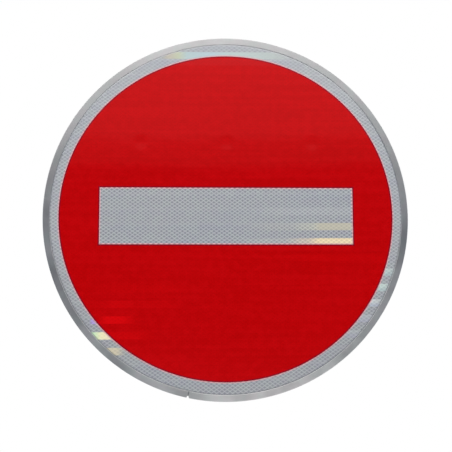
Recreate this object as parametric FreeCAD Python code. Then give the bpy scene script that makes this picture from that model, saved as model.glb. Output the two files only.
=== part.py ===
import FreeCAD
import Part

import math
import os

from FreeCAD import Vector

# A round no entry sign, 600 mm across. The face looks along -Y, the back along +Y,
# and +Z is up. The origin is the middle of the sign, halfway through its depth.
# All sizes are in millimetres and all angles in degrees.

# Edge profile: one extrusion bent into a ring
SIGN_DIAMETER = 600.0
PROFILE_DEPTH = 22.5
PROFILE_WALL = 1.8
LIP_WIDTH = 11.0
LIP_THICKNESS = 1.5
RIB_WIDTH = 13.0
RIB_THICKNESS = 1.4
FLANGE_WIDTH = 16.0
FLANGE_THICKNESS = 1.6
RETURN_HEIGHT = 5.0
RETURN_THICKNESS = 1.5
FRONT_CHAMFER = 1.0
EDGE_CHAMFER = 0.4

# Butt joint of the ring, left of straight down, open as a small V at its outer edge
JOINT_ANGLE = 12.2
JOINT_GAP = 0.5
NOTCH_WIDTH = 3.7
NOTCH_DEPTH = 3.6

# Sign plate and the two films on it
PLATE_THICKNESS = 2.0
PLATE_EDGE_CLEARANCE = 1.6
FILM_THICKNESS = 0.4
SLOT_CLEARANCE = 0.1
RED_THICKNESS = 0.2
SIDE_BORDER = 14.5
TOP_BORDER = 19.75
BAR_WIDTH = 416.5
BAR_HEIGHT = 93.5

# Fixing rails: two level channels on the plate's back
RAIL_END_CLEARANCE = 46.5
RAIL_WIDTH = 40.0
RAIL_WALL = 2.0
RAIL_SPACING = 242.0
RAIL_PROUD = 1.5
SLOT_WIDTH = 11.0
RAIL_FLANGE_THICKNESS = 2.5
RAIL_CHAMFER = 0.8

# Countersunk rivets that hold each rail
RIVET_COUNT = 3
RIVET_END_DISTANCE = 58.0
RIVET_DIAMETER = 4.8
RIVET_HEAD_DIAMETER = 8.2
RIVET_HEAD_ANGLE = 90.0
RIVET_SHOP_DIAMETER = 7.6
RIVET_SHOP_HEIGHT = 2.0
RIVET_HOLE_CLEARANCE = 0.05

# Splice strip inside the ring's rear channel and its blind rivets
STRIP_ANGLE = 16.0
STRIP_THICKNESS = 2.0
STRIP_RETURN_CLEARANCE = 0.5
STRIP_NOTCH_CLEARANCE = 0.8
BLIND_ANGLES = (-5.6, -2.4, 2.4, 5.6)
BLIND_DIAMETER = 4.0
BLIND_HEAD_DIAMETER = 7.0
BLIND_HEAD_HEIGHT = 1.2
BLIND_BULB_DIAMETER = 5.4
BLIND_BULB_LENGTH = 3.4
BLIND_HOLE_CLEARANCE = 0.05

# Cutters reach past what they cut by this much
OVERCUT = 5.0

# Stations along the depth, from the front of the lip to the back of the rails
rail_depth = (PROFILE_DEPTH + RAIL_PROUD
              - LIP_THICKNESS - SLOT_CLEARANCE - FILM_THICKNESS - PLATE_THICKNESS)
lip_front = -(PROFILE_DEPTH + RAIL_PROUD) / 2
lip_back = lip_front + LIP_THICKNESS
film_front = lip_back + SLOT_CLEARANCE
plate_front = film_front + FILM_THICKNESS
plate_back = plate_front + PLATE_THICKNESS
rib_back = plate_back + RIB_THICKNESS
profile_back = lip_front + PROFILE_DEPTH
flange_front = profile_back - FLANGE_THICKNESS
rail_back = plate_back + rail_depth

# Radii of the ring and the plate
ring_radius = SIGN_DIAMETER / 2
slot_radius = ring_radius - PROFILE_WALL
plate_radius = slot_radius - PLATE_EDGE_CLEARANCE
lip_radius = ring_radius - LIP_WIDTH
rib_radius = ring_radius - RIB_WIDTH
flange_radius = ring_radius - FLANGE_WIDTH
return_radius = flange_radius + RETURN_THICKNESS
strip_inner_radius = return_radius + STRIP_RETURN_CLEARANCE
strip_outer_radius = ring_radius - NOTCH_DEPTH - STRIP_NOTCH_CLEARANCE
strip_middle_radius = (strip_inner_radius + strip_outer_radius) / 2

# Width and height of the red field inside the white border that the lip leaves in view
red_width = 2 * (lip_radius - SIDE_BORDER)
red_height = 2 * (lip_radius - TOP_BORDER)

# Length of the rails, whose outer corners keep clear of the ring's rear flange
rail_corner_height = (RAIL_SPACING + RAIL_WIDTH) / 2
rail_room = math.sqrt(flange_radius ** 2 - rail_corner_height ** 2)
rail_length = 2 * (rail_room - RAIL_END_CLEARANCE)
rivet_pitch = (rail_length - 2 * RIVET_END_DISTANCE) / (RIVET_COUNT - 1)

# Rivet sizes that the holes and the rivets share
rivet_radius = RIVET_DIAMETER / 2
rivet_head_radius = RIVET_HEAD_DIAMETER / 2
rivet_hole_radius = rivet_radius + RIVET_HOLE_CLEARANCE
rivet_slope = math.tan(math.radians(RIVET_HEAD_ANGLE / 2))
rivet_head_depth = (rivet_head_radius - rivet_radius) / rivet_slope

DEPTH_AXIS = Vector(0, 1, 0)
CENTRE = Vector(0, 0, 0)


def outline_face(corners, place):
    """Face inside a closed outline of corners (a, b) or (a, b, chamfer), placed by place."""
    points = [place(*corner[:2]) for corner in corners]
    path = []
    for index, corner in enumerate(corners):
        point = points[index]
        if len(corner) == 2:
            path.append(point)
            continue
        chamfer = corner[2]
        towards_last = (points[index - 1] - point).normalize()
        towards_next = (points[(index + 1) % len(points)] - point).normalize()
        path.append(point + towards_last * chamfer)
        path.append(point + towards_next * chamfer)
    return Part.Face(Part.makePolygon(path + path[:1]))


def turned(shape, angle):
    """The shape turned about the sign's axis, where 0 is on +X and 90 is straight down."""
    shape.rotate(CENTRE, DEPTH_AXIS, angle)
    return shape


def at_joint(shape, offset=0.0):
    """The shape turned from +X to the ring's joint, and on by an offset in degrees."""
    return turned(shape, 90.0 + JOINT_ANGLE + offset)


def disc(radius, front, thickness):
    """A round plate about the sign's axis."""
    return Part.makeCylinder(radius, thickness, Vector(0, front, 0), DEPTH_AXIS)


def rivet_places():
    """Distances along a rail of its rivets, evenly spaced about the middle."""
    middle = (RIVET_COUNT - 1) / 2
    return [(index - middle) * rivet_pitch for index in range(RIVET_COUNT)]


def rail_heights():
    """Heights of the upper and the lower rail."""
    return {"upper": RAIL_SPACING / 2, "lower": -RAIL_SPACING / 2}


def revolved(corners, angle=360):
    """Solid of an outline in radius and depth, swept about the sign's axis from +X."""
    face = outline_face(corners, lambda radius, depth: Vector(radius, depth, 0))
    return face.revolve(CENTRE, DEPTH_AXIS, angle)


def pin(corners, x, z):
    """A round piece about a line along Y, from its half outline in radius and depth."""
    solid = revolved(corners)
    solid.translate(Vector(x, 0, z))
    return solid


def make_edge_profile():
    """The bent extrusion: front lip, slot for the plate, rib and rear flange with return."""
    ring = revolved([
        (ring_radius, lip_front, FRONT_CHAMFER),
        (lip_radius, lip_front, EDGE_CHAMFER),
        (lip_radius, lip_back),
        (slot_radius, lip_back),
        (slot_radius, plate_back),
        (rib_radius, plate_back),
        (rib_radius, rib_back),
        (slot_radius, rib_back),
        (slot_radius, flange_front),
        (return_radius, flange_front),
        (return_radius, profile_back - RETURN_HEIGHT),
        (flange_radius, profile_back - RETURN_HEIGHT),
        (flange_radius, profile_back, EDGE_CHAMFER),
        (ring_radius, profile_back, EDGE_CHAMFER),
    ])
    gap = Part.makeBox(FLANGE_WIDTH + 2 * OVERCUT, PROFILE_DEPTH + 2 * OVERCUT, JOINT_GAP,
                       Vector(flange_radius - OVERCUT, lip_front - OVERCUT, -JOINT_GAP / 2))
    notch_slope = NOTCH_WIDTH / 2 / NOTCH_DEPTH
    notch_reach = NOTCH_DEPTH + OVERCUT
    notch = outline_face([
        (ring_radius - NOTCH_DEPTH, 0),
        (ring_radius + OVERCUT, notch_reach * notch_slope),
        (ring_radius + OVERCUT, -notch_reach * notch_slope),
    ], lambda radius, across: Vector(radius, lip_front - OVERCUT, across))
    notch = notch.extrude(DEPTH_AXIS * (PROFILE_DEPTH + 2 * OVERCUT))
    return ring.cut(at_joint(gap)).cut(at_joint(notch))


def make_sign_plate():
    """The aluminium disc, countersunk from the front for the rivets of both rails."""
    plate = disc(plate_radius, plate_front, PLATE_THICKNESS)
    mouth_radius = rivet_head_radius + RIVET_HOLE_CLEARANCE
    for z in rail_heights().values():
        for x in rivet_places():
            mouth = Vector(x, plate_front, z)
            hole = Part.makeCylinder(rivet_hole_radius, PLATE_THICKNESS, mouth, DEPTH_AXIS)
            sink = Part.makeCone(mouth_radius, rivet_hole_radius, rivet_head_depth, mouth,
                                 DEPTH_AXIS)
            plate = plate.cut(hole.fuse(sink))
    return plate


def make_white_film():
    """The white sheet over the whole plate."""
    return disc(plate_radius, film_front, FILM_THICKNESS)


def oval_plate(width, height, front, thickness):
    """An oval plate about the sign's axis, with its longer way level or upright."""
    oval = Part.Ellipse(CENTRE, max(width, height) / 2, min(width, height) / 2).toShape()
    oval.rotate(CENTRE, Vector(1, 0, 0), 90)
    if height > width:
        turned(oval, 90)
    plate = Part.Face(Part.Wire(oval)).extrude(DEPTH_AXIS * thickness)
    plate.translate(Vector(0, front, 0))
    return plate


def make_red_film():
    """The red overlay, a little wider than tall, with the bar cut out of it."""
    field = oval_plate(red_width, red_height, film_front - RED_THICKNESS, RED_THICKNESS)
    bar = Part.makeBox(BAR_WIDTH, RED_THICKNESS, BAR_HEIGHT,
                       Vector(-BAR_WIDTH / 2, film_front - RED_THICKNESS, -BAR_HEIGHT / 2))
    return field.cut(bar)


def make_rail(height):
    """A channel with its web on the plate and a bolt slot along its back."""
    half = RAIL_WIDTH / 2
    slot = SLOT_WIDTH / 2
    flange = rail_back - RAIL_FLANGE_THICKNESS
    section = outline_face([
        (half, plate_back),
        (half, rail_back, RAIL_CHAMFER),
        (slot, rail_back),
        (slot, flange),
        (half - RAIL_WALL, flange),
        (half - RAIL_WALL, plate_back + RAIL_WALL),
        (RAIL_WALL - half, plate_back + RAIL_WALL),
        (RAIL_WALL - half, flange),
        (-slot, flange),
        (-slot, rail_back),
        (-half, rail_back, RAIL_CHAMFER),
        (-half, plate_back),
    ], lambda across, depth: Vector(-rail_length / 2, depth, height + across))
    rail = section.extrude(Vector(rail_length, 0, 0))
    for x in rivet_places():
        start = Vector(x, plate_back, height)
        rail = rail.cut(Part.makeCylinder(rivet_hole_radius, RAIL_WALL, start, DEPTH_AXIS))
    return rail


def make_rail_rivets(height):
    """The countersunk rivets of one rail, flush under the film and headed on the web."""
    web_back = plate_back + RAIL_WALL
    shop_head = RIVET_SHOP_DIAMETER / 2
    outline = [
        (0, plate_front),
        (rivet_head_radius, plate_front),
        (rivet_radius, plate_front + rivet_head_depth),
        (rivet_radius, web_back),
        (shop_head, web_back),
        (shop_head, web_back + RIVET_SHOP_HEIGHT),
        (0, web_back + RIVET_SHOP_HEIGHT),
    ]
    return Part.makeCompound([pin(outline, x, height) for x in rivet_places()])


def make_joint_plate():
    """The bent strip behind the rear flange that ties the ring's two ends together."""
    strip = revolved([
        (strip_inner_radius, flange_front - STRIP_THICKNESS),
        (strip_outer_radius, flange_front - STRIP_THICKNESS),
        (strip_outer_radius, flange_front),
        (strip_inner_radius, flange_front),
    ], STRIP_ANGLE)
    return at_joint(strip, -STRIP_ANGLE / 2)


def blind_hole():
    """Cutter on +X for one blind rivet, through the rear flange and the strip."""
    radius = BLIND_DIAMETER / 2 + BLIND_HOLE_CLEARANCE
    start = Vector(strip_middle_radius, flange_front - STRIP_THICKNESS, 0)
    return Part.makeCylinder(radius, STRIP_THICKNESS + FLANGE_THICKNESS, start, DEPTH_AXIS)


def drilled(shape):
    """The shape with the blind rivets' holes through it."""
    for angle in BLIND_ANGLES:
        shape = shape.cut(at_joint(blind_hole(), angle))
    return shape


def make_joint_rivets():
    """The blind rivets: low heads behind the flange, set bulbs in front of the strip."""
    shank = BLIND_DIAMETER / 2
    bulb = BLIND_BULB_DIAMETER / 2
    head = BLIND_HEAD_DIAMETER / 2
    strip_front = flange_front - STRIP_THICKNESS
    head_top = profile_back + BLIND_HEAD_HEIGHT
    outline = [
        (0, strip_front - BLIND_BULB_LENGTH),
        (bulb, strip_front - BLIND_BULB_LENGTH),
        (bulb, strip_front),
        (shank, strip_front),
        (shank, profile_back),
        (head, profile_back),
        (head, head_top),
        (0, head_top),
    ]
    rivets = []
    for angle in BLIND_ANGLES:
        rivets.append(at_joint(pin(outline, strip_middle_radius, 0), angle))
    return Part.makeCompound(rivets)


def make_parts():
    """Every piece of the sign by its node name."""
    parts = {
        "edge_profile": drilled(make_edge_profile()),
        "sign_plate": make_sign_plate(),
        "white_film": make_white_film(),
        "red_film": make_red_film(),
        "joint_plate": drilled(make_joint_plate()),
        "joint_rivets": make_joint_rivets(),
    }
    for side, height in rail_heights().items():
        parts["rail_" + side] = make_rail(height)
        parts["rail_rivets_" + side] = make_rail_rivets(height)
    return parts


def main():
    os.makedirs("parts", exist_ok=True)
    for name, shape in make_parts().items():
        shape.exportStep(os.path.join("parts", name + ".step"))


main()
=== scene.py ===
import math

import bmesh
import bpy
from bpy.props import FloatProperty, FloatVectorProperty, IntProperty, PointerProperty
from mathutils import Matrix, Vector


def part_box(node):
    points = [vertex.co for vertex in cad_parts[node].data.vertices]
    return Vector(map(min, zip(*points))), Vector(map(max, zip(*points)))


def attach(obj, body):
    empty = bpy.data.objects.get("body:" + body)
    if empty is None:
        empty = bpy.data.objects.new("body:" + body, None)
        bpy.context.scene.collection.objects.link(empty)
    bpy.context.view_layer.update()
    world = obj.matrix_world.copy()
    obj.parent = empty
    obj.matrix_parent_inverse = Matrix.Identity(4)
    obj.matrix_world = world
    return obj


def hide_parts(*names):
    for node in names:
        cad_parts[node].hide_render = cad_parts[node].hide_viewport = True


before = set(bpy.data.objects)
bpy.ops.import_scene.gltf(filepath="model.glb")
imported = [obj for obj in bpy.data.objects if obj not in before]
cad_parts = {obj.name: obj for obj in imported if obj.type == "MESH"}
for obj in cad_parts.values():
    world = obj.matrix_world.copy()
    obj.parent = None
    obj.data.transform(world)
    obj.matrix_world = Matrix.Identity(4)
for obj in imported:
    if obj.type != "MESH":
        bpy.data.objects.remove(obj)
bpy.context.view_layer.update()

bl_info = {
    "name": "No entry sign",
    "version": (1, 0, 0),
    "blender": (4, 5, 0),
    "location": "View3D > Sidebar > No entry sign",
    "description": "Builds a round no entry sign with a prismatic face, edge profile and fixing rails",
    "category": "Add Mesh",
}

MM = 0.001
FRONT = Vector((0, -1, 0))
BACK = Vector((0, 1, 0))
# Places this close count as one, and doubles this close are merged
NEAR = 0.02 * MM
DOUBLE = NEAR / 10
# Cosine from which a face counts as looking along a direction
FACING = 0.9
# How far the cutters reach past the ring, and past the thinner pieces
RING_PAST = 5 * MM
PAST = 1 * MM
# Room between a rivet and its hole
RIVET_ROOM = 0.05 * MM
# Edges that run further than this along a rail count as long
LONG = 1 * MM

# Boxes of the solids that the pieces stand for
EDGE_LOW, EDGE_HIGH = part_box("edge_profile")
PLATE_LOW, PLATE_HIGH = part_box("sign_plate")
SHEET_LOW, SHEET_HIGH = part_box("white_film")
RED_LOW, RED_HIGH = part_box("red_film")
RAIL_LOW, RAIL_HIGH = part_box("rail_upper")
LOWER_RAIL_LOW, LOWER_RAIL_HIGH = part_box("rail_lower")
STUD_LOW, STUD_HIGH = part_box("rail_rivets_upper")
BLIND_LOW, BLIND_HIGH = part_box("joint_rivets")

# Middle height of the upper rail, the lower one's drop below it, and the rivets' places
RAIL_HEIGHT = (RAIL_LOW.z + RAIL_HIGH.z) / 2
RAIL_DROP = RAIL_LOW.z - LOWER_RAIL_LOW.z
RIVET_PITCH = STUD_HIGH.x - (STUD_HIGH.z - STUD_LOW.z) / 2
RIVET_ROW = (-RIVET_PITCH, 0.0, RIVET_PITCH)
# Degrees from the ring's joint to each blind rivet
BLIND_ANGLES = (-5.6, -2.4, 2.4, 5.6)

# Outlines of the rivets' set ends, as (share of the full radius, share of the height)
SHOP_HEAD = ((0.94, 0.0), (1.0, 0.08), (1.0, 0.42), (0.93, 0.66), (0.78, 0.84), (0.55, 0.96),
             (0.36, 1.0), (0.30, 0.93))
BLIND_BULB = ((0.94, 0.0), (1.0, 0.12), (1.0, 0.72), (0.86, 0.92), (0.62, 1.0))
BLIND_HEAD = ((1.0, 0.0), (1.0, 0.22), (0.92, 0.56), (0.74, 0.84), (0.52, 0.98), (0.38, 1.0),
              (0.33, 0.94), (0.31, 0.35), (0.17, 0.35), (0.15, 0.62), (0.07, 0.74))

# What reflections see in front of the sign and behind it: sine of the height, colour
FRONT_LIGHT = (
    (-1.0, 0.59, 0.59, 0.59), (-0.45, 0.49, 0.49, 0.50), (-0.2, 0.140, 0.150, 0.165),
    (-0.08, 0.055, 0.063, 0.076), (-0.02, 0.016, 0.021, 0.029), (0.06, 0.016, 0.021, 0.029),
    (0.166, 0.045, 0.052, 0.066), (0.169, 0.185, 0.185, 0.185), (0.196, 0.207, 0.207, 0.207),
    (0.199, 0.365, 0.365, 0.365), (0.25, 0.42, 0.42, 0.42), (0.28, 0.50, 0.50, 0.50),
    (0.31, 0.80, 0.80, 0.80), (0.38, 0.90, 0.895, 0.885), (1.0, 0.90, 0.895, 0.885),
)
REAR_LIGHT = (
    (-1.0, 0.46, 0.46, 0.46), (-0.3, 0.31, 0.31, 0.32), (0.0, 0.27, 0.28, 0.29),
    (0.3, 0.49, 0.495, 0.50), (1.0, 0.57, 0.57, 0.57),
)
# The least that reflections see at the sides before the sign, and the most that they see there
LEFT_LIGHT = (0.215, 0.250, 0.288)
RIGHT_LIGHT = (0.170, 0.202, 0.238)
UPPER_SIDE_LIGHT = (0.50, 0.505, 0.51)
# What reflections see of the floor: before the sign from far left to far right, further
# before it, and behind it
FLOOR_REACH = 0.8
FLOOR_LIGHT = (
    (0.0, (0.275, 0.315, 0.360)), (0.33, (0.28, 0.32, 0.36)), (0.45, (0.60, 0.61, 0.63)),
    (0.515, (0.70, 0.70, 0.71)), (0.545, (1.0, 1.0, 1.0)), (0.69, (1.0, 1.0, 1.0)),
    (0.77, (0.64, 0.66, 0.68)), (1.0, (0.36, 0.39, 0.42)),
)
FAR_FLOOR_LIGHT = (0.21, 0.23, 0.25)
REAR_FLOOR_LIGHT = (0.80, 0.80, 0.80)
WHITE = (1, 1, 1, 1)
# Name, place, width and power setting of each lamp
LAMPS = (
    ("key_lamp", (0.9, -2.2, 2.0), 2.2, "key_power"),
    ("fill_lamp", (-2.4, -1.2, 0.9), 1.6, "fill_power"),
    ("back_lamp", (-1.0, 2.4, 1.9), 2.2, "back_power"),
)
SENSOR_WIDTH = 36.0


# Properties

def number(name, description, default, **kind):
    """A number that a user may change."""
    return FloatProperty(name=name, description=description, default=default, **kind)


def length(name, description, default):
    """A length in metres."""
    return number(name, description, default, min=0.0, precision=5, unit="LENGTH",
                  subtype="DISTANCE")


def place(name, description, default):
    """A distance along an axis, which may be negative."""
    return number(name, description, default, precision=5, unit="LENGTH", subtype="DISTANCE")


def turn(name, description, degrees):
    """An angle, given in degrees."""
    return number(name, description, math.radians(degrees), unit="ROTATION", subtype="ANGLE")


def share(name, description, default):
    """A number from 0 to 1."""
    return number(name, description, default, min=0.0, max=1.0, subtype="FACTOR")


def power(name, description, default):
    """A lamp's power in watts."""
    return number(name, description, default, min=0.0, unit="POWER")


def count(name, description, default, low, high):
    """A whole number between two limits."""
    return IntProperty(name=name, description=description, default=default, min=low, max=high)


def colour(name, description, default):
    """A linear colour, or a gain on one."""
    return FloatVectorProperty(name=name, description=description, default=default,
                               min=0.0, max=2.0, size=3, subtype="COLOR")


class EdgeSettings(bpy.types.PropertyGroup):
    """Section, joint and finish of the edge profile"""

    outer_radius: length("Outer radius", "Radius of the ring's outer wall", EDGE_HIGH.x)
    wall: length("Wall", "Thickness of the outer wall", 1.8 * MM)
    lip_width: length("Lip width", "Width of the front lip from the outer wall", 11.0 * MM)
    lip_thickness: length("Lip thickness", "Thickness of the front lip", 1.5 * MM)
    rib_width: length("Rib width", "Width of the rib behind the plate", 13.0 * MM)
    rib_thickness: length("Rib thickness", "Thickness of the rib behind the plate", 1.4 * MM)
    flange_width: length("Flange width", "Width of the rear flange", 16.0 * MM)
    flange_thickness: length("Flange thickness", "Thickness of the rear flange", 1.6 * MM)
    return_height: length("Return height", "Depth of the rear flange's turned edge", 5.0 * MM)
    return_thickness: length("Return thickness", "Thickness of the turned edge", 1.5 * MM)
    front_round: length("Front rounding", "Rounding of the outer front corner", 1.0 * MM)
    lip_round: length("Lip rounding", "Rounding of the lip's free edge", 0.7 * MM)
    edge_round: length("Edge rounding", "Rounding of the smaller corners", 0.4 * MM)
    steps: count("Steps", "Steps of the ring's spin", 360, 32, 720)
    joint_angle: turn("Joint angle", "From straight down to the butt joint", 12.2)
    joint_gap: length("Joint gap", "Width of the butt joint", 0.5 * MM)
    notch_width: length("Notch width", "Mouth of the joint's notch at the outer wall", 4.1 * MM)
    notch_floor: length("Notch floor", "Width of the joint's notch at its inner end", 1.5 * MM)
    notch_depth: length("Notch depth", "Depth of the joint's notch", 3.8 * MM)
    tint: colour("Tint", "Colour of the profile's bare aluminium", (0.715, 0.718, 0.712))


class FaceSettings(bpy.types.PropertyGroup):
    """The white prismatic sheet and the red overlay on it"""

    sheet_radius: length("Sheet radius", "Radius of the white sheet", SHEET_HIGH.x)
    red_width: length("Red width", "Width of the red field", RED_HIGH.x - RED_LOW.x)
    red_height: length("Red height", "Height of the red field", RED_HIGH.z - RED_LOW.z)
    bar_width: length("Bar width", "Width of the bar left open in the red", 416.5 * MM)
    bar_height: length("Bar height", "Height of the bar left open in the red", 93.5 * MM)
    ring_step: length("Ring step", "Spacing of the red field's rings of faces", 3.0 * MM)
    dimple_depth: length("Dimple depth", "Depth of the dimple over a rivet", 0.12 * MM)
    dimple_radius: length("Dimple radius", "Reach of the dimple over a rivet", 15.0 * MM)
    steps: count("Steps", "Corners of the round outlines", 320, 32, 720)
    cell_width: length("Cell width", "Width of the sheet's diamond cells", 8.586 * MM)
    cell_height: length("Cell height", "Height of the sheet's diamond cells", 5.938 * MM)
    cell_x: place("Cell offset", "Level offset of the cells from the middle", 0.439 * MM)
    cell_z: place("Cell rise", "Upright offset of the cells from the middle", -1.334 * MM)
    band_pitch: length("Band pitch", "Height of two prism bands together", 25.1 * MM)
    band_edge: place("Band edge", "Lower edge of the first glinting band", -23.8 * MM)
    band_share: share("Band share", "Part of the pitch that the glinting band takes", 0.47)
    band_tilt: number("Band tilt", "Slope of the bands across the sign", 0.004, precision=4)
    white: colour("White", "Colour of the sheet by plain light", (0.360, 0.376, 0.402))
    white_shade: colour("White shade", "Colour of the sheet where it is cloudy",
                        (0.344, 0.364, 0.408))
    line: colour("Line", "Gain of the lines between the cells", (1.24, 1.25, 1.23))
    crossing: colour("Crossing", "Gain where two lines cross", (1.46, 1.46, 1.42))
    dot: colour("Dot", "Gain of the cells' middles", (0.64, 0.66, 0.70))
    red: colour("Red", "Colour of the red overlay", (0.548, 0.0009, 0.0021))
    red_shade: colour("Red shade", "Colour of the red overlay where it is cloudy",
                      (0.563, 0.0013, 0.0028))


class RailSettings(bpy.types.PropertyGroup):
    """The two slotted fixing rails"""

    wall: length("Wall", "Thickness of the web and the side walls", 2.0 * MM)
    lip_thickness: length("Lip thickness", "Thickness of the lips beside the slot", 2.5 * MM)
    slot_width: length("Slot width", "Width of the bolt slot", 11.0 * MM)
    corner: length("Corner", "Rounding of the outer corners", 0.8 * MM)
    slot_round: length("Slot rounding", "Rounding of the slot's edges", 0.4 * MM)
    fine_round: length("Fine rounding", "Rounding of every other edge", 0.15 * MM)
    tint: colour("Tint", "Colour of the rails' bare aluminium", (0.64, 0.65, 0.66))
    plate_tint: colour("Plate tint", "Colour of the plate's bare aluminium", (0.60, 0.61, 0.62))


class RivetSettings(bpy.types.PropertyGroup):
    """The countersunk rivets of the rails and the blind rivets of the joint"""

    corners: count("Corners", "Corners of each rivet's outline", 32, 12, 64)
    shank_radius: length("Shank radius", "Radius of a rail rivet's shank", 2.4 * MM)
    sunk_radius: length("Sunk radius", "Radius of its countersunk head", 4.1 * MM)
    shop_radius: length("Shop radius", "Radius of its set head", 3.8 * MM)
    shop_height: length("Shop height", "Height of its set head", 2.0 * MM)
    blind_radius: length("Blind radius", "Radius of a blind rivet's shank", 2.0 * MM)
    blind_head_radius: length("Blind head radius", "Radius of a blind rivet's head", 3.5 * MM)
    blind_head_height: length("Blind head height", "Height of a blind rivet's head", 1.2 * MM)
    blind_bulb_radius: length("Blind bulb radius", "Radius of its set bulb", 2.7 * MM)
    blind_bulb_length: length("Blind bulb length", "Length of its set bulb", 3.4 * MM)
    blind_circle: length("Blind circle", "Distance of the blind rivets from the axis",
                         290.8 * MM)
    tint: colour("Tint", "Colour of the rivets", (0.68, 0.68, 0.69))


class StageSettings(bpy.types.PropertyGroup):
    """Floor, lamps, surroundings and camera"""

    floor_height: place("Floor height", "Height of the floor under the sign", -0.55)
    floor_radius: length("Floor radius", "Radius of the round floor", 2.6)
    floor_tint: colour("Floor tint", "Colour of the floor", (0.86, 0.86, 0.855))
    key_power: power("Key power", "Power of the large front lamp", 30.0)
    fill_power: power("Fill power", "Power of the side lamp", 12.0)
    back_power: power("Back power", "Power of the lamp behind", 30.0)
    surround: share("Surround", "Level of the even light from all round", 0.62)
    mirrored: number("Mirrored light", "Level of what gloss and metal reflect", 1.75, min=0.0)
    camera_distance: length("Camera distance", "From the camera to the sign's middle", 1.3705)
    camera_azimuth: turn("Camera azimuth", "Camera's turn to the right of the face", -2.226)
    camera_elevation: turn("Camera elevation", "Camera's height as an angle", -6.194)
    camera_roll: turn("Camera roll", "Camera's tilt about its own axis", -0.111)
    camera_lens: number("Lens", "Focal length for a 36 mm wide sensor", 65.96, min=1.0,
                        unit="CAMERA")
    shift_x: number("Shift X", "Level shift of the view", -0.00107, precision=5)
    shift_y: number("Shift Y", "Upright shift of the view", -0.02070, precision=5)


# Modelling steps

def clear_selection():
    """Leaves edit mode and deselects every object."""
    if bpy.context.object is not None and bpy.context.object.mode != "OBJECT":
        bpy.ops.object.mode_set(mode="OBJECT")
    bpy.ops.object.select_all(action="DESELECT")


def make_active(piece):
    """The piece alone is selected and active, in object mode."""
    clear_selection()
    piece.select_set(True)
    bpy.context.view_layer.objects.active = piece


def start_edit(piece):
    """Opens the piece in edit mode with all of it selected."""
    make_active(piece)
    bpy.ops.object.mode_set(mode="EDIT")
    bpy.ops.mesh.select_all(action="SELECT")


def end_edit():
    """Goes back to object mode."""
    bpy.ops.object.mode_set(mode="OBJECT")


def new_piece(name, size=(1, 1, 1)):
    """The primitive just added, with its place, turn and size put into its mesh."""
    piece = bpy.context.object
    piece.name = name
    piece.data.name = name
    piece.scale = size
    bpy.ops.object.transform_apply(location=True, rotation=True, scale=True)
    return piece


def block(name, low, high):
    """A box between two corners."""
    low, high = Vector(low), Vector(high)
    clear_selection()
    bpy.ops.mesh.primitive_cube_add(size=1, location=(low + high) / 2)
    return new_piece(name, high - low)


def rod(name, radius, low_y, high_y, corners, x=0.0, z=0.0):
    """A round bar along the depth axis."""
    clear_selection()
    bpy.ops.mesh.primitive_cylinder_add(
        vertices=corners, radius=radius, depth=high_y - low_y,
        location=(x, (low_y + high_y) / 2, z), rotation=(math.pi / 2, 0, 0))
    return new_piece(name)


def disc(name, radius, corners, centre, rotation=(0, 0, 0), size=(1, 1, 1)):
    """A flat round face."""
    clear_selection()
    bpy.ops.mesh.primitive_circle_add(vertices=corners, radius=radius, fill_type="NGON",
                                      location=centre, rotation=rotation)
    return new_piece(name, size)


def pick(piece, kind, test):
    """In edit mode, selects the vertices, edges or faces that pass the test."""
    bpy.ops.mesh.select_mode(type=kind)
    bpy.ops.mesh.select_all(action="DESELECT")
    mesh = bmesh.from_edit_mesh(piece.data)
    items = {"VERT": mesh.verts, "EDGE": mesh.edges, "FACE": mesh.faces}[kind]
    for item in items:
        if test(item):
            item.select_set(True)
    mesh.select_flush_mode()
    bmesh.update_edit_mesh(piece.data)


def pick_face(piece, direction, depth):
    """In edit mode, selects the faces that look along a direction at one depth."""
    pick(piece, "FACE", lambda item: (item.normal.dot(direction) > FACING
                                      and abs(middle(item).y - depth) < NEAR))


def pick_all(kind):
    """In edit mode, selects everything."""
    bpy.ops.mesh.select_mode(type=kind)
    bpy.ops.mesh.select_all(action="SELECT")


def split_at(point, normal):
    """In edit mode, cuts the whole mesh into two regions along a plane."""
    bpy.ops.mesh.select_all(action="SELECT")
    bpy.ops.mesh.bisect(plane_co=point, plane_no=normal)


def middle(item):
    """Middle of an edge or a face."""
    points = [corner.co for corner in item.verts]
    return sum(points, Vector()) / len(points)


def draw_out(move):
    """Extrudes what is selected by a vector."""
    bpy.ops.mesh.extrude_region_move(TRANSFORM_OT_translate={"value": tuple(move)})


def draw_round(centre, rise, ratio):
    """Extrudes the selected cap of a rod along the depth axis and resizes it."""
    draw_out((0, rise, 0))
    bpy.ops.transform.resize(value=(ratio, 1, ratio), center_override=tuple(centre))


def spread(x, start, rise, radius, full, outline):
    """Draws the selected cap of a rod at x through an outline's rings."""
    tip = start
    for share_out, share_up in outline:
        height = start + share_up * rise
        draw_round((x, height, 0), height - tip, share_out * full / radius)
        radius, tip = share_out * full, height


def merge_doubles():
    """In edit mode, merges what lies in one place."""
    bpy.ops.mesh.select_all(action="SELECT")
    bpy.ops.mesh.remove_doubles(threshold=DOUBLE)


def mend_surface():
    """In edit mode, merges doubles and turns every face outwards."""
    merge_doubles()
    bpy.ops.mesh.normals_make_consistent(inside=False)


def turned(piece, angle):
    """Turns a piece about the sign's axis, where 0 is on +X and a quarter is straight down."""
    make_active(piece)
    piece.rotation_euler = (0, angle, 0)
    bpy.ops.object.transform_apply(rotation=True)
    return piece


def discard(piece):
    """Removes a piece and its mesh."""
    mesh = piece.data
    bpy.data.objects.remove(piece)
    bpy.data.meshes.remove(mesh)


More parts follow.
